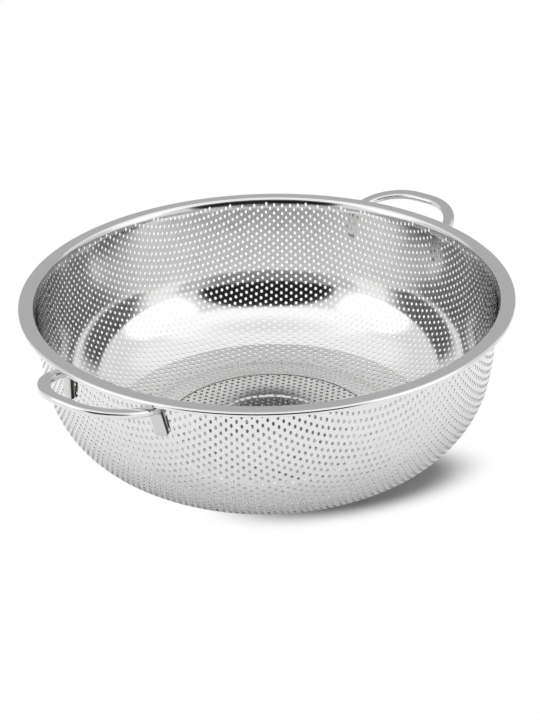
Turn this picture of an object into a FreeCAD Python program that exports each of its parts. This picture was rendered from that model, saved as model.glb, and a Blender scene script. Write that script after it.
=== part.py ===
import FreeCAD, Part
import math
import os
import Sketcher

# A free-standing stainless colander: one perforated sheet drawn into a bowl with a flat rim,
# and two bent bar handles welded flat against the outside of its wall, at the ends of the X axis.
# Millimetres, +Z up, the origin in the middle of the circle that the bowl stands on.

# Driving dimensions: alias, value, what it measures. Angles are in degrees.
SIZES = (
    ("rim_diameter", 290.0, "across the outside of the rim's lip"),
    ("rim_height", 95.0, "standing surface to the top of the rim"),
    ("flange_width", 7.7, "flat rim, from the bevel at the mouth to the outside of the lip"),
    ("mouth_bevel", 1.8, "easing between the wall and the flat rim"),
    ("lip_bevel", 1.0, "easing between the flat rim and its lip"),
    ("lip_depth", 2.4, "turned-down lip, from the top of the rim"),
    ("sheet_gauge", 0.6, "thickness of the drawn sheet"),
    ("corner_radius", 55.0, "outside of the drawn corner between floor and wall"),
    ("wall_lean", 5.2, "lean of the wall away from upright"),
    ("foot_width", 12.4, "flat that the bowl stands on, from the corner to mid-slope of the outer ring"),
    ("panel_width", 28.0, "floor between the two pressed rings, at the middles of their slopes"),
    ("panel_rise", 0.8, "height that the outer ring lifts the floor inside it"),
    ("middle_drop", 0.5, "depth of the floor's middle, inside the inner ring, below the panel"),
    ("ring_slope_width", 2.0, "width of each pressed ring's slope"),
    ("hole_width", 10.0, "drain hole, across its corners"),
    ("hole_spacing", 25.0, "least distance round a row from one drain hole to the next"),
    ("top_row_drop", 14.0, "top of the rim to the middles of the top row of holes"),
    ("wall_row_spacing", 23.0, "top row of holes to the lower row of the wall"),
    ("bar_width", 7.3, "handle bar, across its flat"),
    ("bar_thickness", 3.6, "handle bar, through its flat"),
    ("bar_bevel", 0.9, "broken edge of the handle bar"),
    ("leg_azimuth", 13.5, "turn of each welded leg round the bowl, from the handle's middle"),
    ("leg_length", 13.0, "straight welded leg, below its bend"),
    ("leg_bend_radius", 5.0, "bend between leg and loop, at the middle of the bar"),
    ("loop_reach", 21.6, "middle of the bar past the outside of the rim"),
    ("loop_corner_radius", 29.0, "corners of the loop, at the middle of the bar"),
    ("loop_tilt", 12.5, "rise of the loop away from the bowl"),
    ("lip_clearance", 0.3, "gap between the rim's lip and the bar that passes under it"),
    ("weld_gap", 0.05, "weld film between leg and wall"),
)

doc = FreeCAD.newDocument("colander")
sheet = doc.addObject("Spreadsheet::Sheet", "Sizes")
for row, (alias, value, meaning) in enumerate(SIZES, start=1):
    sheet.set(f"A{row}", alias)
    sheet.set(f"B{row}", str(value))
    sheet.set(f"C{row}", meaning)
    sheet.setAlias(f"B{row}", alias)
doc.recompute()


def size(alias):
    """The number in the sheet's cell of that name."""
    return float(sheet.get(alias))


def number(expression):
    """The value of an expression in the sheet's names."""
    return float(sheet.evalExpression(expression))


# A 45 degree bevel in a sheet: its two faces meet their neighbours this share of the gauge apart.
BEVEL_MITRE = f"{math.tan(math.radians(22.5)):.6f}"
HEXAGON_SIDES = 6
# The drawn corner is a chain of narrow straight bands with their edges on its arc. Each row of holes in it
# lies in the middle of one band, and every other band has a row.
CORNER_BANDS = 6

# The bowl's section, as expressions in the sheet's names. The wall's inner face ends at the mouth's bevel,
# and the flat floor is as wide as the rim, the leaning wall and the drawn corner leave it.
LEAN = "(Sizes.wall_lean * 1 deg)"
RIM_RADIUS = "(Sizes.rim_diameter / 2)"
WALL_TOP = f"({RIM_RADIUS} - Sizes.flange_width - Sizes.mouth_bevel)"
OUTER_WALL_TOP = (
    f"({WALL_TOP} + Sizes.sheet_gauge / cos({LEAN}) - {BEVEL_MITRE} * Sizes.sheet_gauge * tan({LEAN}))"
)
OUTER_WALL_TOP_Z = f"(Sizes.rim_height - Sizes.mouth_bevel - {BEVEL_MITRE} * Sizes.sheet_gauge)"
CORNER_TOP_Z = f"(Sizes.corner_radius * (1 - sin({LEAN})))"
FLAT_RADIUS = (
    f"({OUTER_WALL_TOP} - ({OUTER_WALL_TOP_Z} - {CORNER_TOP_Z}) * tan({LEAN})"
    f" - Sizes.corner_radius * cos({LEAN}))"
)
OUTER_RING = f"({FLAT_RADIUS} - Sizes.foot_width)"
INNER_RING = f"({OUTER_RING} - Sizes.panel_width)"


def corner_point(share, radius):
    """The place on the drawn corner at a share of its turn from floor to wall, for the radius of the sheet's
    outer or inner face, as expressions."""
    turn = f"({share} * (90 deg - {LEAN}))"
    return f"({FLAT_RADIUS} + {radius} * sin({turn}))", f"(Sizes.corner_radius - {radius} * cos({turn}))"


def origin_plane(body, role):
    """One of a body's own origin planes, by its role."""
    return next(plane for plane in body.Origin.OriginFeatures if plane.Role == role)


def new_sketch(body, name, role):
    """An empty sketch on one of the body's origin planes."""
    sketch = body.newObject("Sketcher::SketchObject", name)
    sketch.AttachmentSupport = (origin_plane(body, role), [""])
    sketch.MapMode = "FlatFace"
    return sketch


def bind(sketch, constraint, expression):
    """Adds a dimension to a sketch and ties it to the sheet."""
    index = sketch.addConstraint(constraint)
    sketch.setExpression(f"Constraints[{index}]", expression)


def draw_outline(sketch, corners):
    """A closed outline of straight sides through corners given as pairs of expressions. Corners at zero lie
    on the sketch's axes."""
    points = [FreeCAD.Vector(number(x), number(y), 0) for x, y in corners]
    count = len(points)
    for side in range(count):
        sketch.addGeometry(Part.LineSegment(points[side], points[(side + 1) % count]))
    for side in range(count):
        sketch.addConstraint(Sketcher.Constraint("Coincident", side, 2, (side + 1) % count, 1))
    for side, (x, y) in enumerate(corners):
        if x == "0":
            sketch.addConstraint(Sketcher.Constraint("PointOnObject", side, 1, -2))
        else:
            bind(sketch, Sketcher.Constraint("DistanceX", -1, 1, side, 1, number(x)), x)
        if y == "0":
            sketch.addConstraint(Sketcher.Constraint("PointOnObject", side, 1, -1))
        else:
            bind(sketch, Sketcher.Constraint("DistanceY", -1, 1, side, 1, number(y)), y)


def ring_edges(base):
    """The floor's two pressed rings on one face of the sheet, from the axis outward: the panel between them
    stands above the middle and above the flat outside them, which lies at base."""
    half_slope = "Sizes.ring_slope_width / 2"
    panel = f"{base} + Sizes.panel_rise"
    middle = f"{panel} - Sizes.middle_drop"
    return [
        ("0", middle),
        (f"{INNER_RING} - {half_slope}", middle),
        (f"{INNER_RING} + {half_slope}", panel),
        (f"{OUTER_RING} - {half_slope}", panel),
        (f"{OUTER_RING} + {half_slope}", base),
    ]


def draw_bowl():
    """The drawn sheet: a section of one gauge, turned once round the axis."""
    body = doc.addObject("PartDesign::Body", "bowl")
    body.Label = "bowl"
    gauge = "Sizes.sheet_gauge"
    height = "Sizes.rim_height"
    inner_radius = f"(Sizes.corner_radius - {gauge})"
    lip_mitre = f"(Sizes.lip_bevel + {BEVEL_MITRE} * {gauge})"
    shares = [f"{band} / {CORNER_BANDS}" for band in range(1, CORNER_BANDS + 1)]
    underside = ring_edges("0") + [(FLAT_RADIUS, "0")]
    underside += [corner_point(share, "Sizes.corner_radius") for share in shares]
    inside = ring_edges(gauge) + [(FLAT_RADIUS, gauge)]
    inside += [corner_point(share, inner_radius) for share in shares]
    corners = underside + [
        (OUTER_WALL_TOP, OUTER_WALL_TOP_Z),
        (f"{WALL_TOP} + Sizes.mouth_bevel + {BEVEL_MITRE} * {gauge}", f"{height} - {gauge}"),
        (f"{RIM_RADIUS} - {lip_mitre}", f"{height} - {gauge}"),
        (f"{RIM_RADIUS} - {gauge}", f"{height} - {lip_mitre}"),
        (f"{RIM_RADIUS} - {gauge}", f"{height} - Sizes.lip_depth"),
        (RIM_RADIUS, f"{height} - Sizes.lip_depth"),
        (RIM_RADIUS, f"{height} - Sizes.lip_bevel"),
        (f"{RIM_RADIUS} - Sizes.lip_bevel", height),
        (f"{WALL_TOP} + Sizes.mouth_bevel", height),
        (WALL_TOP, f"{height} - Sizes.mouth_bevel"),
    ] + inside[::-1]
    section = new_sketch(body, "bowl_section", "XZ_Plane")
    draw_outline(section, corners)
    turned = body.newObject("PartDesign::Revolution", "drawn_sheet")
    turned.Profile = section
    turned.ReferenceAxis = (section, ["V_Axis"])
    turned.Angle = 360
    doc.recompute()
    return body


def draw_hexagon(sketch, x, y):
    """A drain hole's outline: six equal sides between points on a guide circle, whose centre is given by two
    expressions."""
    centre = FreeCAD.Vector(number(x), number(y), 0)
    radius = number("Sizes.hole_width / 2")
    turns = [math.tau * corner / HEXAGON_SIDES for corner in range(HEXAGON_SIDES)]
    points = [centre + FreeCAD.Vector(math.cos(turn), math.sin(turn), 0) * radius for turn in turns]
    for side in range(HEXAGON_SIDES):
        sketch.addGeometry(Part.LineSegment(points[side], points[(side + 1) % HEXAGON_SIDES]))
    circle = sketch.addGeometry(Part.Circle(centre, FreeCAD.Vector(0, 0, 1), radius), True)
    for side in range(HEXAGON_SIDES):
        sketch.addConstraint(Sketcher.Constraint("Coincident", side, 2, (side + 1) % HEXAGON_SIDES, 1))
        sketch.addConstraint(Sketcher.Constraint("PointOnObject", side, 1, circle))
    for side in range(1, HEXAGON_SIDES):
        sketch.addConstraint(Sketcher.Constraint("Equal", 0, side))
    sketch.addConstraint(Sketcher.Constraint("Horizontal", 1))
    bind(sketch, Sketcher.Constraint("Radius", circle, radius), "Sizes.hole_width / 2")
    for kind, axis, place in (("DistanceX", -2, x), ("DistanceY", -1, y)):
        if place == "0":
            sketch.addConstraint(Sketcher.Constraint("PointOnObject", circle, 3, axis))
        else:
            bind(sketch, Sketcher.Constraint(kind, -1, 1, circle, 3, number(place)), place)


def punch_row(body, name, role, x, y, start, reach, count=None, half_pitches=0):
    """A row of drain holes: one hexagon punched along its plane's normal, then repeated round the axis.
    start is how far along the normal the punch begins. A row turned by half a pitch sits between the holes
    of the rows beside it."""
    sketch = new_sketch(body, f"{name}_hole", role)
    if half_pitches:
        turn = f"(180 deg * {half_pitches} / {count})"
        axis = FreeCAD.Vector(0, 0, 1) if role == "XY_Plane" else FreeCAD.Vector(0, 1, 0)
        sketch.AttachmentOffset = FreeCAD.Placement(FreeCAD.Vector(), FreeCAD.Rotation(axis, 1))
        sketch.setExpression("AttachmentOffset.Rotation.Angle", turn)
    if start != "0":
        turn = f"(180 deg * {half_pitches} / {count})"
        sketch.setExpression("AttachmentOffset.Base.x", f"{start} * sin({turn})")
        sketch.setExpression("AttachmentOffset.Base.z", f"{start} * cos({turn})")
    draw_hexagon(sketch, x, y)
    punch = body.newObject("PartDesign::Pocket", f"{name}_punch")
    punch.Profile = sketch
    punch.Type = "Length"
    punch.Reversed = True
    punch.setExpression("Length", reach)
    doc.recompute()
    if count is not None:
        row = body.newObject("PartDesign::PolarPattern", f"{name}_row")
        row.Originals = [punch]
        row.Axis = (body.getObject("bowl_section"), ["V_Axis"])
        row.Angle = 360
        row.setExpression("Occurrences", count)
        body.Tip = row
        doc.recompute()


def even_count(radius):
    """How many holes a row of that radius takes: an even number, so that the row mirrors in two planes."""
    return f"(2 * floor(pi * {radius} / Sizes.hole_spacing))"


def punch_bowl(body):
    """Drain holes in rows, upward through each panel of the floor and the foot of the corner, and outward
    through the top of the corner and the wall."""
    through_floor = "Sizes.corner_radius"
    middles = [f"{band + 0.5} / {CORNER_BANDS}" for band in range(0, CORNER_BANDS, 2)]
    corner_rows = [corner_point(share, "Sizes.corner_radius") for share in middles]
    punch_row(body, "centre", "XY_Plane", "0", "0", "0", through_floor)
    for name, radius, half_pitches in (
        ("middle", f"({INNER_RING} / 2)", 0),
        ("panel", f"({OUTER_RING} - Sizes.panel_width / 2)", 1),
        ("foot", f"({FLAT_RADIUS} - Sizes.foot_width / 2)", 0),
        ("low_corner", corner_rows[0][0], 1),
        ("mid_corner", corner_rows[1][0], 0),
    ):
        punch_row(body, name, "XY_Plane", radius, "0", "0", through_floor, even_count(radius), half_pitches)
    top_row = "(Sizes.rim_height - Sizes.top_row_drop)"
    for name, height, half_pitches in (
        ("high_corner", corner_rows[2][1], 0),
        ("wall", f"({top_row} - Sizes.wall_row_spacing)", 1),
        ("top", top_row, 0),
    ):
        count = even_count(RIM_RADIUS)
        punch_row(body, name, "YZ_Plane", "0", height, FLAT_RADIUS, RIM_RADIUS, count, half_pitches)


def bar_section(middle, across, through):
    """The handle bar's flat section with broken edges, as a wire about its middle."""
    half_width = size("bar_width") / 2
    half_thickness = size("bar_thickness") / 2
    bevel = size("bar_bevel")
    corners = (
        (half_width, half_thickness - bevel),
        (half_width - bevel, half_thickness),
        (bevel - half_width, half_thickness),
        (-half_width, half_thickness - bevel),
        (-half_width, bevel - half_thickness),
        (bevel - half_width, -half_thickness),
        (half_width - bevel, -half_thickness),
        (half_width, bevel - half_thickness),
    )
    points = [middle + across * x + through * y for x, y in corners]
    return Part.makePolygon(points + points[:1])


def bend_handle():
    """One handle at the +X end. The loop lies in a plane that rises away from the bowl and passes under the
    rim's lip. At each end the bar is bent down about an axis square to both its own flat and the wall, so
    that the leg lies flat on the wall and splays a little."""
    tilt = math.radians(size("loop_tilt"))
    lean = math.radians(size("wall_lean"))
    azimuth = math.radians(size("leg_azimuth"))
    thickness = size("bar_thickness")
    bend_radius = size("leg_bend_radius")
    rim_radius = number(RIM_RADIUS)

    outward = FreeCAD.Vector(math.cos(tilt), 0, math.sin(tilt))
    across = FreeCAD.Vector(0, 1, 0)
    above = FreeCAD.Vector(-math.sin(tilt), 0, math.cos(tilt))
    wall_normal = FreeCAD.Vector(
        math.cos(azimuth) * math.cos(lean), math.sin(azimuth) * math.cos(lean), -math.sin(lean)
    )

    # The loop's plane, by its height under the lip, and the leg's top, where the bend from that plane ends.
    half_rise = thickness / 2 / math.cos(tilt)
    height_at_rim = size("rim_height") - size("lip_depth") - size("lip_clearance") - half_rise
    bend = (above + wall_normal) * bend_radius
    wall_at_base = number(f"{OUTER_WALL_TOP} - {OUTER_WALL_TOP_Z} * tan({LEAN})")
    leg_at_base = wall_at_base + (thickness / 2 + size("weld_gap")) / math.cos(lean)
    leg_top_z = (
        height_at_rim + (leg_at_base * math.cos(azimuth) + bend.x - rim_radius) * math.tan(tilt) - bend.z
    ) / (1 - math.tan(lean) * math.cos(azimuth) * math.tan(tilt))
    leg_top_radius = leg_at_base + leg_top_z * math.tan(lean)
    leg_top = FreeCAD.Vector(
        leg_top_radius * math.cos(azimuth), leg_top_radius * math.sin(azimuth), leg_top_z
    )
    loop_end = leg_top + bend

    # The loop's path: two corners, no larger than the loop has room for, between straight runs.
    half_width = loop_end.y
    reach = (rim_radius + size("loop_reach") - loop_end.x) / math.cos(tilt)
    corner = min(size("loop_corner_radius"), reach - thickness / 2, half_width - thickness / 2)
    diagonal = corner * (1 - math.sqrt(0.5))

    def on_loop(out, aside):
        foot = FreeCAD.Vector(loop_end.x, 0, loop_end.z)
        return foot + outward * out + across * aside

    path = Part.Wire(
        [
            Part.LineSegment(on_loop(0, half_width), on_loop(reach - corner, half_width)).toShape(),
            Part.Arc(
                on_loop(reach - corner, half_width),
                on_loop(reach - diagonal, half_width - diagonal),
                on_loop(reach, half_width - corner),
            ).toShape(),
            Part.LineSegment(
                on_loop(reach, half_width - corner), on_loop(reach, corner - half_width)
            ).toShape(),
            Part.Arc(
                on_loop(reach, corner - half_width),
                on_loop(reach - diagonal, diagonal - half_width),
                on_loop(reach - corner, -half_width),
            ).toShape(),
            Part.LineSegment(on_loop(reach - corner, -half_width), on_loop(0, -half_width)).toShape(),
        ]
    )
    section = bar_section(loop_end, across, above)
    loop = path.makePipeShell([section], True, False)

    # The bend turns the bar's upper face onto the wall, and the leg runs on from it.
    bend_centre = loop_end - above * bend_radius
    bend_axis = wall_normal.cross(above).normalize()
    bend_turn = math.degrees(above.getAngle(-wall_normal))
    bent = Part.Face(section).revolve(bend_centre, bend_axis, bend_turn)
    leg_end = Part.Face(section)
    leg_end.rotate(bend_centre, bend_axis, bend_turn)
    leg_direction = FreeCAD.Rotation(bend_axis, bend_turn).multVec(-outward)
    leg = leg_end.extrude(leg_direction * size("leg_length"))
    near_end = bent.fuse(leg)
    far_end = near_end.mirror(FreeCAD.Vector(), across)
    return loop.fuse([near_end, far_end]).removeSplitter()


def place_handles():
    """The same handle at both ends of the X axis."""
    shape = bend_handle()
    handles = []
    for name, turn in (("handle_right", 0), ("handle_left", 180)):
        handle = doc.addObject("Part::Feature", name)
        handle.Label = name
        handle.Shape = shape
        about_axis = FreeCAD.Rotation(FreeCAD.Vector(0, 0, 1), turn)
        handle.Placement = FreeCAD.Placement(FreeCAD.Vector(), about_axis)
        handles.append(handle)
    return handles


bowl = draw_bowl()
punch_bowl(bowl)
pieces = [bowl] + place_handles()
doc.recompute()

for item in doc.Objects:
    if "Invalid" in item.State or "Error" in item.State:
        raise RuntimeError(f"{item.Label} failed: {item.State}")
for piece in pieces:
    if piece.Shape.isNull() or not piece.Shape.isValid() or len(piece.Shape.Solids) != 1:
        raise RuntimeError(f"{piece.Label} is not one valid solid")

os.makedirs("parts", exist_ok=True)
for piece in pieces:
    piece.Shape.exportStep(f"parts/{piece.Label}.step")
    box = piece.Shape.BoundBox
    extents = f"{box.XLength:.1f} x {box.YLength:.1f} x {box.ZLength:.1f} mm"
    print(piece.Label, extents, f"{piece.Shape.Volume:.0f} mm3")
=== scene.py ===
import math

import bpy
import numpy as np
from mathutils import Matrix, Vector


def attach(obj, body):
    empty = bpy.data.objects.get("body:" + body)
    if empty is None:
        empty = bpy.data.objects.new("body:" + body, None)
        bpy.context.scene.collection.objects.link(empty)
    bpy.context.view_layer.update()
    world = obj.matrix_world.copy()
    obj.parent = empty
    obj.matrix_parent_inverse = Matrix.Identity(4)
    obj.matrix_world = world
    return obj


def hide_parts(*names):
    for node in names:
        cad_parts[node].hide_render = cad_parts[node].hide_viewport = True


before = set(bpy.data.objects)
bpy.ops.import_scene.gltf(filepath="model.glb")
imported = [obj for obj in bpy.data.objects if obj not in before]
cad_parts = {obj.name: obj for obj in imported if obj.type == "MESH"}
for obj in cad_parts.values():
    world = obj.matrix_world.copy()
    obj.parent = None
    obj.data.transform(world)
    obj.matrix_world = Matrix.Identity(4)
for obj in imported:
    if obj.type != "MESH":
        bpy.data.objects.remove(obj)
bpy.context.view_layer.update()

# The bowl's sheet: stainless steel, punched all over with small round holes in a close triangular pattern
# and then deep-drawn. Drawing keeps the sheet's area, so up the wall the holes crowd round the bowl and
# stretch upright. Shallow rings are pressed into the floor. Bowl and handles are sized in millimetres.
MILLIMETRE = 0.001
SHEET_GAUGE = 0.6
FLOOR_RADIUS = 83.0
SHOULDER_LENGTH = 17.0
SHOULDER_SLOPE = math.radians(15.1)
CORNER_RADIUS = 56.1
CORNER_START = math.radians(24.4)
CORNER_END = math.radians(80.9)
WALL_RADIUS = 292.0
FLARE_LENGTH = 5.0
FLARE_TURN = math.radians(20.0)
SHEET_TOP = 93.4
RING_RADII = (37.0, 65.0)
RING_LIFTS = (-0.5, 0.8)
RING_WIDTH = 3.0
MERIDIAN_LENGTH = 220.0
MERIDIAN_STEP = 0.05
HOLE_PITCH = 4.19
HOLE_RADIUS = 1.0
HOLE_SIDES = 12
PATTERN_TURN = math.radians(2.8)
SAME_POINT = HOLE_PITCH / 100
RIM_MARGIN = 0.45
SHEET_COLOUR = (0.66, 0.66, 0.655, 1.0)
# The holes' linings are darker: painted shade in the holes.
HOLE_SHADE_COLOUR = (0.50, 0.50, 0.50, 1.0)
BAND_NAMES = ("bowl_floor", "bowl_corner", "bowl_lower_wall", "bowl_upper_wall")


def running_sum(steps):
    """The sum of the steps before each point: it starts at nothing and has one more value than the steps."""
    return np.concatenate(([0.0], np.cumsum(steps)))


def drawn_sheet():
    """The middle of the drawn sheet along one meridian, from the axis to the foot of the rim.

    The sheet's slope is 0 on the floor and steady on the shoulder round it. From there it grows evenly
    with length round the corner, then more slowly up the wall, and close to the top it falls evenly, which
    flares the mouth. Radius and height are the running sums of its cosine and sine. Each pressed ring
    lifts or drops what lies inside it by a smooth step. The flat blank's radius for a point is that of a
    disc with as much area as the drawn sheet within the point.
    Returns radius, height, slope and blank radius."""
    length = np.arange(0.0, MERIDIAN_LENGTH, MERIDIAN_STEP)
    corner_begins = FLOOR_RADIUS + SHOULDER_LENGTH
    corner_length = CORNER_RADIUS * (CORNER_END - CORNER_START)
    along_corner = np.clip(length - corner_begins, 0.0, corner_length)
    along_wall = np.clip(length - corner_begins - corner_length, 0.0, None)
    slope = CORNER_START + along_corner / CORNER_RADIUS + along_wall / WALL_RADIUS
    slope = np.where(length < corner_begins, SHOULDER_SLOPE, slope)
    slope = np.where(length < FLOOR_RADIUS, 0.0, slope)
    height_before_flare = SHEET_GAUGE / 2 + running_sum(np.sin(slope[:-1]) * MERIDIAN_STEP)
    flare_begins = np.interp(SHEET_TOP - FLARE_LENGTH, height_before_flare, length)
    along_flare = np.clip((length - flare_begins) / FLARE_LENGTH, 0.0, None)
    slope = slope - FLARE_TURN * along_flare
    radius = running_sum(np.cos(slope[:-1]) * MERIDIAN_STEP)
    height = SHEET_GAUGE / 2 + running_sum(np.sin(slope[:-1]) * MERIDIAN_STEP)
    below_rim = height <= SHEET_TOP
    radius = radius[below_rim]
    height = height[below_rim]
    slope = slope[below_rim]
    for ring, lift in zip(RING_RADII, RING_LIFTS):
        share = np.clip((ring + RING_WIDTH / 2 - radius) / RING_WIDTH, 0.0, 1.0)
        smooth = share * share * (3.0 - 2.0 * share)
        radius = radius - lift * smooth * np.sin(slope)
        height = height + lift * smooth * np.cos(slope)
    slope = np.arctan2(np.gradient(height), np.gradient(radius))
    ring_area = (radius[1:] + radius[:-1]) / 2 * np.hypot(np.diff(radius), np.diff(height))
    blank = np.sqrt(2.0 * running_sum(ring_area))
    return radius, height, slope, blank


sheet_radius, sheet_height, sheet_slope, sheet_blank = drawn_sheet()
blank_edge = sheet_blank[-1]


def draw_points(flat, side):
    """Points of the flat blank carried onto the drawn sheet: each keeps its direction from the centre, and
    its distance picks the place on the meridian. side is +1 for the inner face and -1 for the outer one.
    Returns the places and the face's outward normals."""
    distance = np.minimum(np.hypot(flat[..., 0], flat[..., 1]), blank_edge)
    turn = np.arctan2(flat[..., 1], flat[..., 0])
    slope = np.interp(distance, sheet_blank, sheet_slope)
    outward = -np.sin(slope) * side
    upward = np.cos(slope) * side
    radius = np.interp(distance, sheet_blank, sheet_radius) + outward * SHEET_GAUGE / 2
    height = np.interp(distance, sheet_blank, sheet_height) + upward * SHEET_GAUGE / 2
    places = np.stack((radius * np.cos(turn), radius * np.sin(turn), height), axis=-1)
    normals = np.stack((outward * np.cos(turn), outward * np.sin(turn), upward), axis=-1)
    return places, normals


def punched_cells():
    """The middles of the blank's hexagonal cells, one for each hole: whole steps of the pitch along two
    directions 60 degrees apart. Returns the middles, their distances from the centre, and whether each is
    punched. A cell whose hole would come too near the rim is left whole."""
    reach = int(blank_edge / HOLE_PITCH) * 2
    first, second = np.meshgrid(np.arange(-reach, reach + 1), np.arange(-reach, reach + 1))
    along = PATTERN_TURN + math.radians(30)
    across = along + math.radians(60)
    middles = HOLE_PITCH * np.stack(
        (
            first * math.cos(along) + second * math.cos(across),
            first * math.sin(along) + second * math.sin(across),
        ),
        axis=-1,
    ).reshape(-1, 2)
    distance = np.hypot(middles[:, 0], middles[:, 1])
    near = distance < blank_edge + HOLE_PITCH / math.sqrt(3)
    middles = middles[near]
    distance = distance[near]
    punched = distance + HOLE_RADIUS + RIM_MARGIN < blank_edge
    return middles, distance, punched


def mesh_object(name, vertices, loops, sizes, normals=None):
    """A mesh object from flat arrays of vertices in millimetres, the faces' corners, how many corners each
    face has and, where given, each corner's normal."""
    mesh = bpy.data.meshes.new(name)
    mesh.vertices.add(len(vertices))
    mesh.vertices.foreach_set("co", (vertices * MILLIMETRE).astype(np.float32).ravel())
    mesh.loops.add(len(loops))
    mesh.loops.foreach_set("vertex_index", loops.astype(np.int32))
    mesh.polygons.add(len(sizes))
    starts = np.concatenate(([0], np.cumsum(sizes)[:-1]))
    mesh.polygons.foreach_set("loop_start", starts.astype(np.int32))
    mesh.polygons.foreach_set("use_smooth", np.ones(len(sizes), dtype=bool))
    mesh.update(calc_edges=True)
    mesh.validate()
    if normals is not None:
        mesh.normals_split_custom_set(normals)
    piece = bpy.data.objects.new(name, mesh)
    bpy.context.collection.objects.link(piece)
    return piece


def punched_piece(name, middles, punched):
    """One band of the sheet. A cell has twelve points on its edge, at the corners and the middles of the
    sides, and as many round its hole: quads join them on both faces and line the hole between the faces.
    A whole cell is a fan on each face. Neighbouring cells share the points on their edges. The faces take
    the smooth sheet's normals, and the lining's normals point to the hole's axis."""
    turns = PATTERN_TURN + np.arange(HOLE_SIDES) * math.tau / HOLE_SIDES
    directions = np.stack((np.cos(turns), np.sin(turns)), axis=-1)
    edge_reach = np.where(np.arange(HOLE_SIDES) % 2 == 0, HOLE_PITCH / math.sqrt(3), HOLE_PITCH / 2)
    edge = (middles[:, None, :] + directions * edge_reach[:, None]).reshape(-1, 2)
    keys = np.round(edge / SAME_POINT).astype(np.int64)
    _, first_use, edge_index = np.unique(keys, axis=0, return_index=True, return_inverse=True)
    edge = edge[first_use]
    edge_index = edge_index.reshape(-1, HOLE_SIDES)
    hole_middles = middles[punched]
    holes = (hole_middles[:, None, :] + directions * HOLE_RADIUS).reshape(-1, 2)
    whole = middles[~punched]
    flat = np.concatenate((edge, holes, whole))
    count = len(flat)
    inner, inner_normals = draw_points(flat, 1)
    outer, outer_normals = draw_points(flat, -1)

    following = np.roll(np.arange(HOLE_SIDES), -1)
    hole_index = len(edge) + np.arange(len(holes)).reshape(-1, HOLE_SIDES)
    next_hole = hole_index[:, following]
    hole_rims = edge_index[punched]
    quads = np.stack((hole_rims, hole_rims[:, following], next_hole, hole_index), axis=-1)
    lining = np.stack((hole_index, next_hole, next_hole + count, hole_index + count), axis=-1)
    hubs = count - len(whole) + np.arange(len(whole))
    hubs = np.repeat(hubs[:, None], HOLE_SIDES, axis=1)
    whole_rims = edge_index[~punched]
    fans = np.stack((whole_rims, whole_rims[:, following], hubs), axis=-1)

    axis_points = (draw_points(hole_middles, 1)[0] + draw_points(hole_middles, -1)[0]) / 2
    hole_points = (inner + outer)[hole_index.ravel()] / 2
    inward = np.repeat(axis_points, HOLE_SIDES, axis=0) - hole_points
    inward = inward / np.linalg.norm(inward, axis=1, keepdims=True)
    hole_normals = np.zeros((2 * count, 3))
    hole_normals[hole_index.ravel()] = inward
    hole_normals[hole_index.ravel() + count] = inward
    face_normals = np.concatenate((inner_normals, outer_normals))

    groups = (
        (quads.reshape(-1, 4), face_normals),
        (quads[..., ::-1].reshape(-1, 4) + count, face_normals),
        (lining.reshape(-1, 4), hole_normals),
        (fans.reshape(-1, 3), face_normals),
        (fans[..., ::-1].reshape(-1, 3) + count, face_normals),
    )
    loops = np.concatenate([faces.ravel() for faces, _ in groups])
    sizes = np.concatenate([np.full(len(faces), faces.shape[1]) for faces, _ in groups])
    normals = np.concatenate([source[faces.ravel()] for faces, source in groups])
    is_lining = np.concatenate([np.full(len(faces), source is hole_normals) for faces, source in groups])
    piece = mesh_object(name, np.concatenate((inner, outer)), loops, sizes, normals)
    # The lining's faces carry the material's painted shade in the holes.
    hole_shade_mark = piece.data.attributes.new("painted_hole_shade", "FLOAT", "FACE")
    hole_shade_mark.data.foreach_set("value", is_lining.astype(np.float32))
    return piece


def metal_with_painted_shade(name, shade_attribute, plain_colour, painted_shade_colour):
    """A bare metal with painted shade: its colour goes from the plain one to the darker one by the share
    that the mesh's own attribute holds. Returns the material and its shader."""
    material = bpy.data.materials.new(name)
    material.use_nodes = True
    nodes = material.node_tree.nodes
    links = material.node_tree.links
    shader = nodes["Principled BSDF"]
    shader.inputs["Metallic"].default_value = 1.0
    share = nodes.new("ShaderNodeAttribute")
    share.attribute_name = shade_attribute
    tone = nodes.new("ShaderNodeMix")
    tone.data_type = "RGBA"
    tone.inputs["A"].default_value = plain_colour
    tone.inputs["B"].default_value = painted_shade_colour
    links.new(share.outputs["Fac"], tone.inputs["Factor"])
    links.new(tone.outputs["Result"], shader.inputs["Base Color"])
    return material, shader


def surface_noise(material, scale, detail):
    """A noise fixed to the piece, with so many lumps to a metre and so many finer layers in it."""
    nodes = material.node_tree.nodes
    links = material.node_tree.links
    place = nodes.new("ShaderNodeTexCoord")
    noise = nodes.new("ShaderNodeTexNoise")
    noise.inputs["Scale"].default_value = scale
    noise.inputs["Detail"].default_value = detail
    links.new(place.outputs["Object"], noise.inputs["Vector"])
    return noise.outputs["Fac"]


def uneven_gloss(material, shader, noise, smoothest, roughest):
    """Roughness that follows the noise from the smoothest value to the roughest."""
    gloss = material.node_tree.nodes.new("ShaderNodeMapRange")
    gloss.inputs["To Min"].default_value = smoothest
    gloss.inputs["To Max"].default_value = roughest
    material.node_tree.links.new(noise, gloss.inputs["Value"])
    material.node_tree.links.new(gloss.outputs["Result"], shader.inputs["Roughness"])


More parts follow.
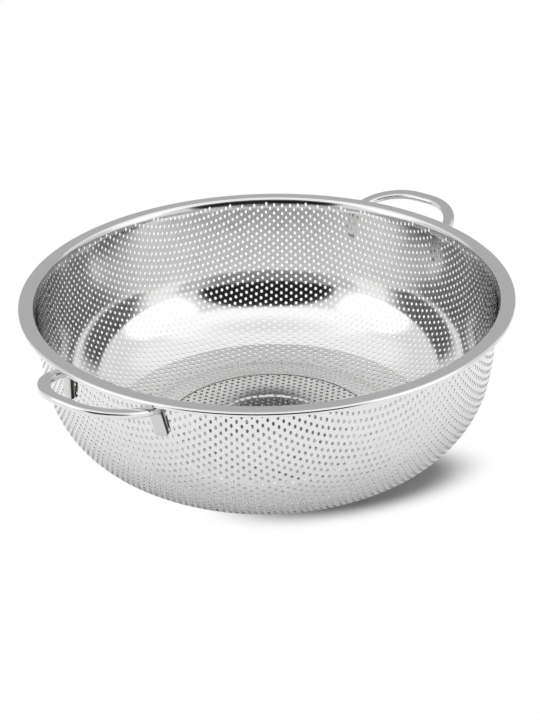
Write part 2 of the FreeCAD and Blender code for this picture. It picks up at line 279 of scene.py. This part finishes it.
def polished_sheet():
    """Polished stainless sheet: a bright metal with faint uneven gloss from handling, and the slight
    waviness that drawing leaves. The linings of the holes are darker: painted shade in the holes."""
    material, shader = metal_with_painted_shade("polished_drawn_steel", "painted_hole_shade", SHEET_COLOUR, HOLE_SHADE_COLOUR)
    handling = surface_noise(material, scale=45.0, detail=4.0)
    uneven_gloss(material, shader, handling, smoothest=0.07, roughest=0.13)
    waves = surface_noise(material, scale=60.0, detail=1.0)
    bump = material.node_tree.nodes.new("ShaderNodeBump")
    bump.inputs["Strength"].default_value = 0.12
    bump.inputs["Distance"].default_value = 0.0006
    material.node_tree.links.new(waves, bump.inputs["Height"])
    material.node_tree.links.new(bump.outputs["Normal"], shader.inputs["Normal"])
    return material


sheet_steel = polished_sheet()
cell_middles, cell_distance, cell_punched = punched_cells()
band_limits = blank_edge * np.sqrt(np.arange(len(BAND_NAMES) + 1) / len(BAND_NAMES))
band_limits[-1] = blank_edge + HOLE_PITCH
for band_name, band_start, band_end in zip(BAND_NAMES, band_limits[:-1], band_limits[1:]):
    in_band = (cell_distance >= band_start) & (cell_distance < band_end)
    band = punched_piece(band_name, cell_middles[in_band], cell_punched[in_band])
    band.data.materials.append(sheet_steel)
    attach(band, "root")
    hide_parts("bowl")

# The rim: the plain edge of the same sheet. It is turned outward over a small radius into a flat ring, and
# its outer edge is turned down into a short lip.
RIM_RADIUS = 145.0
RIM_HEIGHT = 95.0
FLAT_MIDDLE_RADIUS = 140.0
LIP_DEPTH = 2.4
LIP_BEND = 1.1
MOUTH_POINTS = 13
LIP_POINTS = 11
EDGE_POINTS = 7
RIM_STEPS = 360


def rim_profile():
    """The rim's section: the middle of the sheet runs up from the wall, turns outward on an arc, runs level,
    turns down on a smaller arc and drops to the lip's edge. Half a gauge to each side gives the two faces,
    and a half circle rounds the lip's edge. Returns radius and height round the closed section."""
    half = SHEET_GAUGE / 2
    start_slope = sheet_slope[-1]
    start_radius = sheet_radius[-1]
    start_height = sheet_height[-1]
    top = RIM_HEIGHT - half
    mouth_bend = (top - start_height) / (1.0 - math.cos(start_slope))
    mouth = np.linspace(start_slope, 0.0, MOUTH_POINTS)
    mouth_radius = start_radius + mouth_bend * (math.sin(start_slope) - np.sin(mouth))
    mouth_height = start_height + mouth_bend * (np.cos(mouth) - math.cos(start_slope))
    down = np.linspace(0.0, -math.pi / 2, LIP_POINTS)
    lip_radius = RIM_RADIUS - half
    down_radius = lip_radius - LIP_BEND - LIP_BEND * np.sin(down)
    down_height = top - LIP_BEND * (1.0 - np.cos(down))
    edge_height = RIM_HEIGHT - LIP_DEPTH + half
    radius = np.concatenate((mouth_radius, [FLAT_MIDDLE_RADIUS], down_radius, [lip_radius]))
    height = np.concatenate((mouth_height, [top], down_height, [edge_height]))
    slope = np.concatenate((mouth, [0.0], down, [-math.pi / 2]))
    inner = np.stack((radius - half * np.sin(slope), height + half * np.cos(slope)), axis=-1)
    outer = np.stack((radius + half * np.sin(slope), height - half * np.cos(slope)), axis=-1)
    swing = np.linspace(0.0, math.pi, EDGE_POINTS)[1:-1]
    edge = np.stack((lip_radius + half * np.cos(swing), edge_height - half * np.sin(swing)), axis=-1)
    return np.concatenate((inner, edge, outer[::-1]))


def turned_ring(name, section, steps):
    """A closed section of radius and height carried once round the axis in even steps, with quads between
    neighbouring points and steps."""
    turns = np.arange(steps) * math.tau / steps
    vertices = np.stack(
        (
            section[:, 0] * np.cos(turns)[:, None],
            section[:, 0] * np.sin(turns)[:, None],
            np.repeat(section[None, :, 1], steps, axis=0),
        ),
        axis=-1,
    ).reshape(-1, 3)
    width = len(section)
    around, along = np.meshgrid(np.arange(steps), np.arange(width), indexing="ij")
    next_around = (around + 1) % steps
    next_along = (along + 1) % width
    quads = np.stack(
        (
            around * width + along,
            next_around * width + along,
            next_around * width + next_along,
            around * width + next_along,
        ),
        axis=-1,
    ).reshape(-1, 4)
    return mesh_object(name, vertices, quads[:, ::-1].ravel(), np.full(len(quads), 4))


rim = turned_ring("bowl_rim", rim_profile(), RIM_STEPS)
rim.data.materials.append(sheet_steel)
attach(rim, "root")
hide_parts("bowl")

# The handles: two lengths of flat stainless bar with rounded edges, each bent into a loop that rises a
# little away from the bowl. Each end is bent down and welded flat against the wall, just under the rim.
# The bends and legs carry painted shade, darkest on their narrow edges.
BAR_WIDTH = 7.3
BAR_THICKNESS = 3.6
BAR_ROUNDING = 1.3
LOOP_TILT = math.radians(12.5)
LOOP_REACH = 21.6
LOOP_CORNER = 29.0
LIP_CLEARANCE = 0.3
LEG_AZIMUTH = math.radians(13.5)
LEG_LENGTH = 13.0
LEG_BEND = 5.0
WALL_LEAN = math.radians(5.2)
WALL_AT_BASE = 127.62  # radius of the wall's outer face, carried straight on down to the table
WELD_GAP = 0.05
END_ROUNDING = 0.7
CORNER_POINTS = 49
BEND_POINTS = 20
LEG_POINTS = 4
END_POINTS = 5
ROUNDING_POINTS = 7
FLAT_LEG_SHADE = 0.2  # the painted shade's share on the bar's flats
LEG_SHADE_STARTS = 0.85  # cosine between the surface's normal and the bar's width where the painted shade starts to grow
LEG_SHADE_RISE = 0.12  # how much more of that cosine brings it to full
BAR_COLOUR = (0.64, 0.64, 0.635, 1.0)
# Nearly black: the colour of the painted shade on the bends and legs.
LEG_SHADE_COLOUR = (0.04, 0.038, 0.035, 1.0)


def turned_about(vectors, axis, angles):
    """Vectors turned about a unit axis by each of several angles, by Rodrigues' formula."""
    cosine = np.cos(angles)[:, None]
    sine = np.sin(angles)[:, None]
    along = np.dot(vectors, axis)
    return vectors * cosine + np.cross(axis, vectors) * sine + axis * along * (1.0 - cosine)


def bar_path():
    """The middle of the bar from the loop's middle to the end of one leg, with the directions across its
    flat and through it. In the loop's tilted plane the bar runs straight, turns a quarter circle and runs
    straight to the bend. The bend swings the bar about the line square to its flat and to the wall, and
    the leg runs on down the wall. Also returns how far the section draws in at the leg's end, and the
    share of painted shade: none on the loop, rising as a sine over the bend, and all on the leg."""
    outward = np.array((math.cos(LOOP_TILT), 0.0, math.sin(LOOP_TILT)))
    aside = np.array((0.0, 1.0, 0.0))
    above = np.array((-math.sin(LOOP_TILT), 0.0, math.cos(LOOP_TILT)))
    wall = np.array(
        (
            math.cos(LEG_AZIMUTH) * math.cos(WALL_LEAN),
            math.sin(LEG_AZIMUTH) * math.cos(WALL_LEAN),
            -math.sin(WALL_LEAN),
        )
    )
    level = RIM_HEIGHT - LIP_DEPTH - LIP_CLEARANCE - BAR_THICKNESS / 2 / math.cos(LOOP_TILT)
    swing = (above + wall) * LEG_BEND
    leg_at_base = WALL_AT_BASE + (BAR_THICKNESS / 2 + WELD_GAP) / math.cos(WALL_LEAN)
    past_rim = leg_at_base * math.cos(LEG_AZIMUTH) + swing[0] - RIM_RADIUS
    leaning = 1.0 - math.tan(WALL_LEAN) * math.cos(LEG_AZIMUTH) * math.tan(LOOP_TILT)
    leg_height = (level + past_rim * math.tan(LOOP_TILT) - swing[2]) / leaning
    leg_radius = leg_at_base + leg_height * math.tan(WALL_LEAN)
    leg_top = np.array((leg_radius * math.cos(LEG_AZIMUTH), leg_radius * math.sin(LEG_AZIMUTH), leg_height))
    loop_end = leg_top + swing
    reach = (RIM_RADIUS + LOOP_REACH - loop_end[0]) / math.cos(LOOP_TILT)
    half_width = loop_end[1]
    foot = loop_end * np.array((1.0, 0.0, 1.0))

    quarter = np.linspace(0.0, math.pi / 2, CORNER_POINTS)
    bow_share = np.array((0.0, 0.5))
    side_share = np.array((0.5, 1.0))
    across_run = np.concatenate(
        (
            bow_share * (half_width - LOOP_CORNER),
            half_width - LOOP_CORNER + LOOP_CORNER * np.sin(quarter),
            np.full(len(side_share), half_width),
        )
    )
    out_run = np.concatenate(
        (
            np.full(len(bow_share), reach),
            reach - LOOP_CORNER + LOOP_CORNER * np.cos(quarter),
            (reach - LOOP_CORNER) * (1.0 - side_share),
        )
    )
    heading = np.concatenate((np.zeros(len(bow_share)), quarter, np.full(len(side_share), math.pi / 2)))
    loop = foot + out_run[:, None] * outward + across_run[:, None] * aside
    loop_across = np.sin(heading)[:, None] * aside + np.cos(heading)[:, None] * outward
    loop_through = np.repeat(above[None, :], len(loop), axis=0)

    centre = loop_end - above * LEG_BEND
    axis = np.cross(wall, above)
    axis = axis / np.linalg.norm(axis)
    whole_turn = math.acos(np.dot(above, -wall))
    turns = np.linspace(0.0, whole_turn, BEND_POINTS + 1)[1:]
    bend = centre + turned_about(above * LEG_BEND, axis, turns)
    bend_across = turned_about(aside, axis, turns)
    bend_through = turned_about(above, axis, turns)

    leg_direction = turned_about(-outward, axis, turns[-1:])
    leg_share = np.linspace(1.0 / LEG_POINTS, 1.0, LEG_POINTS)
    leg = bend[-1] + leg_share[:, None] * leg_direction * (LEG_LENGTH - END_ROUNDING)
    ease = np.linspace(0.0, math.pi / 2, END_POINTS + 1)[1:]
    end = leg[-1] + np.sin(ease)[:, None] * leg_direction * END_ROUNDING
    leg_across = np.repeat(bend_across[-1:], LEG_POINTS + END_POINTS, axis=0)
    leg_through = np.repeat(bend_through[-1:], LEG_POINTS + END_POINTS, axis=0)

    full_section = np.zeros(len(loop) + len(bend) + len(leg))
    inset = np.concatenate((full_section, END_ROUNDING * (1.0 - np.cos(ease))))
    rising_shade = np.sin(turns / whole_turn * math.pi / 2)
    painted_shade_share = np.concatenate((np.zeros(len(loop)), rising_shade, np.ones(LEG_POINTS + END_POINTS)))
    return (
        np.concatenate((loop, bend, leg, end)),
        np.concatenate((loop_across, bend_across, leg_across)),
        np.concatenate((loop_through, bend_through, leg_through)),
        inset,
        painted_shade_share,
    )


def both_halves(half, mirror=1.0):
    """Values from one leg's end over the loop's middle to the other's: the half path's backwards, then the
    rest of them times the mirror."""
    return np.concatenate((half[::-1], half[1:] * mirror))


def bent_bar(name, half_turn):
    """The bar: a rounded rectangle carried along the path and its mirror image, with the legs' ends eased
    and closed by a fan. half_turn is -1 for the same bar turned half round to the other end of the bowl.
    The painted shade is the path's share of it, in full on the narrow edges and slight on the flats."""
    middle, across, through, inset, painted_shade_share = bar_path()
    mirror = np.array((1.0, -1.0, 1.0))
    middle = both_halves(middle, mirror)
    across = both_halves(across, mirror)
    through = both_halves(through, mirror)
    inset = both_halves(inset)
    painted_shade_share = both_halves(painted_shade_share)
    quarter = np.linspace(0.0, math.pi / 2, ROUNDING_POINTS)
    angles = np.concatenate([quarter + corner * math.pi / 2 for corner in range(4)])
    across_sign = np.repeat((1.0, -1.0, -1.0, 1.0), ROUNDING_POINTS)
    through_sign = np.repeat((1.0, 1.0, -1.0, -1.0), ROUNDING_POINTS)
    wide = across_sign * (BAR_WIDTH / 2 - BAR_ROUNDING) + BAR_ROUNDING * np.cos(angles)
    thick = through_sign * (BAR_THICKNESS / 2 - BAR_ROUNDING) + BAR_ROUNDING * np.sin(angles)
    wide = wide[None, :] * (1.0 - inset[:, None] / (BAR_WIDTH / 2))
    thick = thick[None, :] * (1.0 - inset[:, None] / (BAR_THICKNESS / 2))
    rows = middle[:, None, :] + wide[..., None] * across[:, None, :] + thick[..., None] * through[:, None, :]
    vertices = np.concatenate((rows.reshape(-1, 3), middle[:1], middle[-1:]))
    vertices = vertices * np.array((half_turn, half_turn, 1.0))

    count, width = wide.shape
    row, point = np.meshgrid(np.arange(count - 1), np.arange(width), indexing="ij")
    following = (point + 1) % width
    quads = np.stack(
        (
            row * width + point,
            row * width + following,
            (row + 1) * width + following,
            (row + 1) * width + point,
        ),
        axis=-1,
    ).reshape(-1, 4)
    ring = np.arange(width)
    next_ring = (ring + 1) % width
    first_cap = np.stack((next_ring, ring, np.full(width, count * width)), axis=-1)
    last = (count - 1) * width
    last_cap = np.stack((last + ring, last + next_ring, np.full(width, count * width + 1)), axis=-1)
    loops = np.concatenate((quads.ravel(), first_cap.ravel(), last_cap.ravel()))
    sizes = np.concatenate((np.full(len(quads), 4), np.full(2 * width, 3)))
    bar = mesh_object(name, vertices, loops, sizes)

    # The painted shade is strongest on the narrow edges of the bends and legs.
    on_edge = np.clip((np.abs(np.cos(angles)) - LEG_SHADE_STARTS) / LEG_SHADE_RISE, 0.0, 1.0)
    edge_share = FLAT_LEG_SHADE + (1.0 - FLAT_LEG_SHADE) * on_edge
    leg_shade_values = np.concatenate(((painted_shade_share[:, None] * edge_share).ravel(), (0.0, 0.0)))
    leg_shade_mark = bar.data.attributes.new("painted_leg_shade", "FLOAT", "POINT")
    leg_shade_mark.data.foreach_set("value", leg_shade_values.astype(np.float32))
    return bar


def polished_bar():
    """Polished bar: a little darker than the sheet, with a finer uneven gloss, and nearly black where the
    painted shade is full."""
    material, shader = metal_with_painted_shade("polished_bar_steel", "painted_leg_shade", BAR_COLOUR, LEG_SHADE_COLOUR)
    polishing = surface_noise(material, scale=220.0, detail=3.0)
    uneven_gloss(material, shader, polishing, smoothest=0.06, roughest=0.12)
    return material


bar_steel = polished_bar()
for handle_name, half_turn in (("handle_right", 1.0), ("handle_left", -1.0)):
    handle = bent_bar(f"{handle_name}_bar", half_turn)
    handle.data.materials.append(bar_steel)
    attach(handle, "root")
    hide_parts(handle_name)

# The camera: at the photograph's viewpoint, looking down into the bowl past its near left handle, with the
# photograph's slight roll and its framing. From here on sizes are in metres.
CAMERA_AZIMUTH = math.radians(-51.1)
CAMERA_ELEVATION = math.radians(25.94)
CAMERA_ROLL = math.radians(-1.40)
CAMERA_DISTANCE = 0.936
CAMERA_LENS = 79.75
CAMERA_SENSOR = 36.0
CAMERA_SHIFT_RIGHT = 0.005
CAMERA_SHIFT_UP = -0.100
upright = Vector((0.0, 0.0, 1.0))
toward_camera = Vector((math.sin(CAMERA_AZIMUTH), -math.cos(CAMERA_AZIMUTH), 0.0))
camera_right = Vector((math.cos(CAMERA_AZIMUTH), math.sin(CAMERA_AZIMUTH), 0.0))
rim_centre = Vector((0.0, 0.0, RIM_HEIGHT * MILLIMETRE))
camera_data = bpy.data.cameras.new("camera")
camera_data.lens = CAMERA_LENS
camera_data.sensor_width = CAMERA_SENSOR
camera_data.shift_x = CAMERA_SHIFT_RIGHT
camera_data.shift_y = CAMERA_SHIFT_UP
camera = bpy.data.objects.new("camera", camera_data)
back = toward_camera * math.cos(CAMERA_ELEVATION) + upright * math.sin(CAMERA_ELEVATION)
camera_place = Matrix.Translation(rim_centre + back * CAMERA_DISTANCE)
camera_turn = (-back).to_track_quat("-Z", "Y").to_matrix().to_4x4()
camera.matrix_world = camera_place @ camera_turn @ Matrix.Rotation(CAMERA_ROLL, 4, "Z")
bpy.context.collection.objects.link(camera)
bpy.context.scene.camera = camera
bpy.context.scene.view_settings.view_transform = "Standard"

# The table: matt white paper a hair below the bowl. The camera sees it plain white, except close to the
# base, where it keeps the light's own shadow, and in an oval beside the base, where its material draws the
# narrow soft shadow of the photograph.
TABLE_REACH = 4.0
TABLE_HEIGHT = -0.0001
PAPER_COLOUR = (0.95, 0.95, 0.95, 1.0)
SHADE_COLOUR = (0.32, 0.32, 0.32, 1.0)
SHADE_RIGHT = 0.048
SHADE_NEAR = 0.066
SHADE_TURN = math.radians(17.5)
SHADE_HALF_LENGTH = 0.094
SHADE_HALF_WIDTH = 0.038
SHADE_CORE = 0.5
WHITE_STARTS = 0.080
WHITE_FULL = 0.097


def flat_panel(name, corners):
    """One four-sided face on the stage, from its corners in order."""
    mesh = bpy.data.meshes.new(name)
    mesh.from_pydata([tuple(corner) for corner in corners], [], [(0, 1, 2, 3)])
    panel = bpy.data.objects.new(name, mesh)
    bpy.context.collection.objects.link(panel)
    return panel


def fade_with_distance(nodes, links, vector, none_at, full_at):
    """A share that goes by a smooth step from 0 to 1 as the vector's length goes from none_at to full_at."""
    distance = nodes.new("ShaderNodeVectorMath")
    distance.operation = "LENGTH"
    links.new(vector, distance.inputs[0])
    fade = nodes.new("ShaderNodeMapRange")
    fade.interpolation_type = "SMOOTHSTEP"
    fade.inputs["From Min"].default_value = none_at
    fade.inputs["From Max"].default_value = full_at
    links.new(distance.outputs["Value"], fade.inputs["Value"])
    return fade.outputs["Result"]


def product(nodes, links, first, second):
    """One share times another."""
    times = nodes.new("ShaderNodeMath")
    times.operation = "MULTIPLY"
    links.new(first, times.inputs[0])
    links.new(second, times.inputs[1])
    return times.outputs["Value"]


def mixed(nodes, links, share, under, over):
    """Two shaders mixed: the share of the one over, and the rest of the one under."""
    mix = nodes.new("ShaderNodeMixShader")
    links.new(share, mix.inputs["Fac"])
    links.new(under, mix.inputs[1])
    links.new(over, mix.inputs[2])
    return mix.outputs["Shader"]


def table_paper():
    """Matt white paper. For the camera, the oval's shade comes in by a share that rises from 0 at the
    oval's edge to 1 at its core. Plain white comes in by a share that rises with the distance from the
    bowl's axis, times what the shade leaves. Every other ray meets the matt paper."""
    material = bpy.data.materials.new("table_white")
    material.use_nodes = True
    nodes = material.node_tree.nodes
    links = material.node_tree.links
    nodes.clear()
    matt = nodes.new("ShaderNodeBsdfDiffuse")
    matt.inputs["Color"].default_value = PAPER_COLOUR
    shade = nodes.new("ShaderNodeBsdfDiffuse")
    shade.inputs["Color"].default_value = SHADE_COLOUR
    white = nodes.new("ShaderNodeEmission")
    white.inputs["Strength"].default_value = 1.0
    camera_ray = nodes.new("ShaderNodeLightPath").outputs["Is Camera Ray"]
    place = nodes.new("ShaderNodeTexCoord").outputs["Object"]
    oval = nodes.new("ShaderNodeMapping")
    oval.vector_type = "TEXTURE"
    oval.inputs["Location"].default_value = tuple(camera_right * SHADE_RIGHT + toward_camera * SHADE_NEAR)
    oval.inputs["Rotation"].default_value = (0.0, 0.0, CAMERA_AZIMUTH + SHADE_TURN)
    oval.inputs["Scale"].default_value = (SHADE_HALF_LENGTH, SHADE_HALF_WIDTH, 1.0)
    links.new(place, oval.inputs["Vector"])
    shaded = fade_with_distance(nodes, links, oval.outputs["Vector"], 1.0, SHADE_CORE)
    left_by_shade = nodes.new("ShaderNodeMath")
    left_by_shade.operation = "SUBTRACT"
    left_by_shade.inputs[0].default_value = 1.0
    links.new(shaded, left_by_shade.inputs[1])
    away = fade_with_distance(nodes, links, place, WHITE_STARTS, WHITE_FULL)
    plain = product(nodes, links, away, left_by_shade.outputs["Value"])
    shade_share = product(nodes, links, shaded, camera_ray)
    white_share = product(nodes, links, plain, camera_ray)
    paper = mixed(nodes, links, shade_share, matt.outputs["BSDF"], shade.outputs["BSDF"])
    seen = mixed(nodes, links, white_share, paper, white.outputs["Emission"])
    output = nodes.new("ShaderNodeOutputMaterial")
    links.new(seen, output.inputs["Surface"])
    return material


table = flat_panel(
    "table",
    (
        (-TABLE_REACH, -TABLE_REACH, TABLE_HEIGHT),
        (TABLE_REACH, -TABLE_REACH, TABLE_HEIGHT),
        (TABLE_REACH, TABLE_REACH, TABLE_HEIGHT),
        (-TABLE_REACH, TABLE_REACH, TABLE_HEIGHT),
    ),
)
table.data.materials.append(table_paper())

# The studio's panels: glowing sheets with soft edges, which only the polished metal shows. A dark one is
# behind the camera and a grey one behind the bowl, three lie overhead, and one stands at each side, a
# little nearer the camera than the bowl is.
OVERHEAD_HEIGHT = 1.2
SIDE_RIGHT = 0.94
SIDE_FORWARD = 0.34


def screen(name, middle, half_across, half_along, level, softness):
    """A glowing flat panel, seen only in reflections. Its edges fade into what is behind it: the share of
    its glow goes from 0 at the edge of the ellipse within it to 1 further in, by the softness."""
    panel = flat_panel(
        name,
        (
            middle - half_across - half_along,
            middle + half_across - half_along,
            middle + half_across + half_along,
            middle - half_across + half_along,
        ),
    )
    panel.visible_camera = False
    panel.visible_diffuse = False
    panel.visible_shadow = False
    across = panel.data.uv_layers.new(name="across")
    across.data.foreach_set("uv", (-1.0, -1.0, 1.0, -1.0, 1.0, 1.0, -1.0, 1.0))
    material = bpy.data.materials.new(name)
    material.use_nodes = True
    nodes = material.node_tree.nodes
    links = material.node_tree.links
    nodes.clear()
    clear = nodes.new("ShaderNodeBsdfTransparent")
    glow = nodes.new("ShaderNodeEmission")
    glow.inputs["Color"].default_value = (level, level, level, 1.0)
    place = nodes.new("ShaderNodeUVMap")
    place.uv_map = "across"
    glow_share = fade_with_distance(nodes, links, place.outputs["UV"], 1.0, 1.0 - softness)
    seen = mixed(nodes, links, glow_share, clear.outputs["BSDF"], glow.outputs["Emission"])
    output = nodes.new("ShaderNodeOutputMaterial")
    links.new(seen, output.inputs["Surface"])
    panel.data.materials.append(material)


overhead = rim_centre + upright * OVERHEAD_HEIGHT
screen(
    "dark_screen",
    middle=rim_centre + toward_camera * 1.3 + upright * 0.55,
    half_across=camera_right * 1.2,
    half_along=upright * 1.07,
    level=0.02,
    softness=0.2,
)
screen(
    "grey_screen",
    middle=rim_centre - toward_camera * 1.5 + upright * 0.7,
    half_across=camera_right * 2.4,
    half_along=upright * 0.9,
    level=0.60,
    softness=0.2,
)
screen(
    "far_softbox",
    middle=overhead + upright * 0.05 - toward_camera * 0.35,
    half_across=camera_right * 1.8,
    half_along=toward_camera * 0.9,
    level=1.25,
    softness=0.5,
)
screen(
    "near_softbox",
    middle=overhead + toward_camera * 0.46,
    half_across=camera_right * 1.8,
    half_along=toward_camera * 0.66,
    level=1.46,
    softness=0.29,
)
screen(
    "top_screen",
    middle=overhead - upright * 0.05 + toward_camera * 0.2,
    half_across=camera_right * 0.8,
    half_along=toward_camera * 0.5,
    level=1.1,
    softness=0.9,
)
for side_name, side in (("left_softbox", -1.0), ("right_softbox", 1.0)):
    to_side = toward_camera * SIDE_FORWARD + camera_right * side * SIDE_RIGHT
    along_side = toward_camera * SIDE_RIGHT - camera_right * side * SIDE_FORWARD
    screen(
        side_name,
        middle=rim_centre + to_side * 1.5 + upright * 1.05,
        half_across=along_side * 0.8,
        half_along=upright * 1.1,
        level=1.9,
        softness=0.35,
    )

# The light: one large soft lamp overhead, a little to the left, which the metal doesn't show. It lights the
# table and gives the shadow at the base. The room round it is even white.
KEY_SIZE = 1.2
KEY_ENERGY = 7.0
KEY_LEFT = 0.2
KEY_HEIGHT = 1.3
key_data = bpy.data.lights.new("key_light", "AREA")
key_data.shape = "SQUARE"
key_data.size = KEY_SIZE
key_data.energy = KEY_ENERGY
key = bpy.data.objects.new("key_light", key_data)
key.location = tuple(upright * KEY_HEIGHT - camera_right * KEY_LEFT)
key.rotation_euler = (0.0, 0.0, CAMERA_AZIMUTH)
key.visible_glossy = False
bpy.context.collection.objects.link(key)
world = bpy.data.worlds.new("studio")
world.use_nodes = True
room = world.node_tree.nodes["Background"]
room.inputs["Color"].default_value = (1.0, 1.0, 1.0, 1.0)
room.inputs["Strength"].default_value = 1.0
bpy.context.scene.world = world
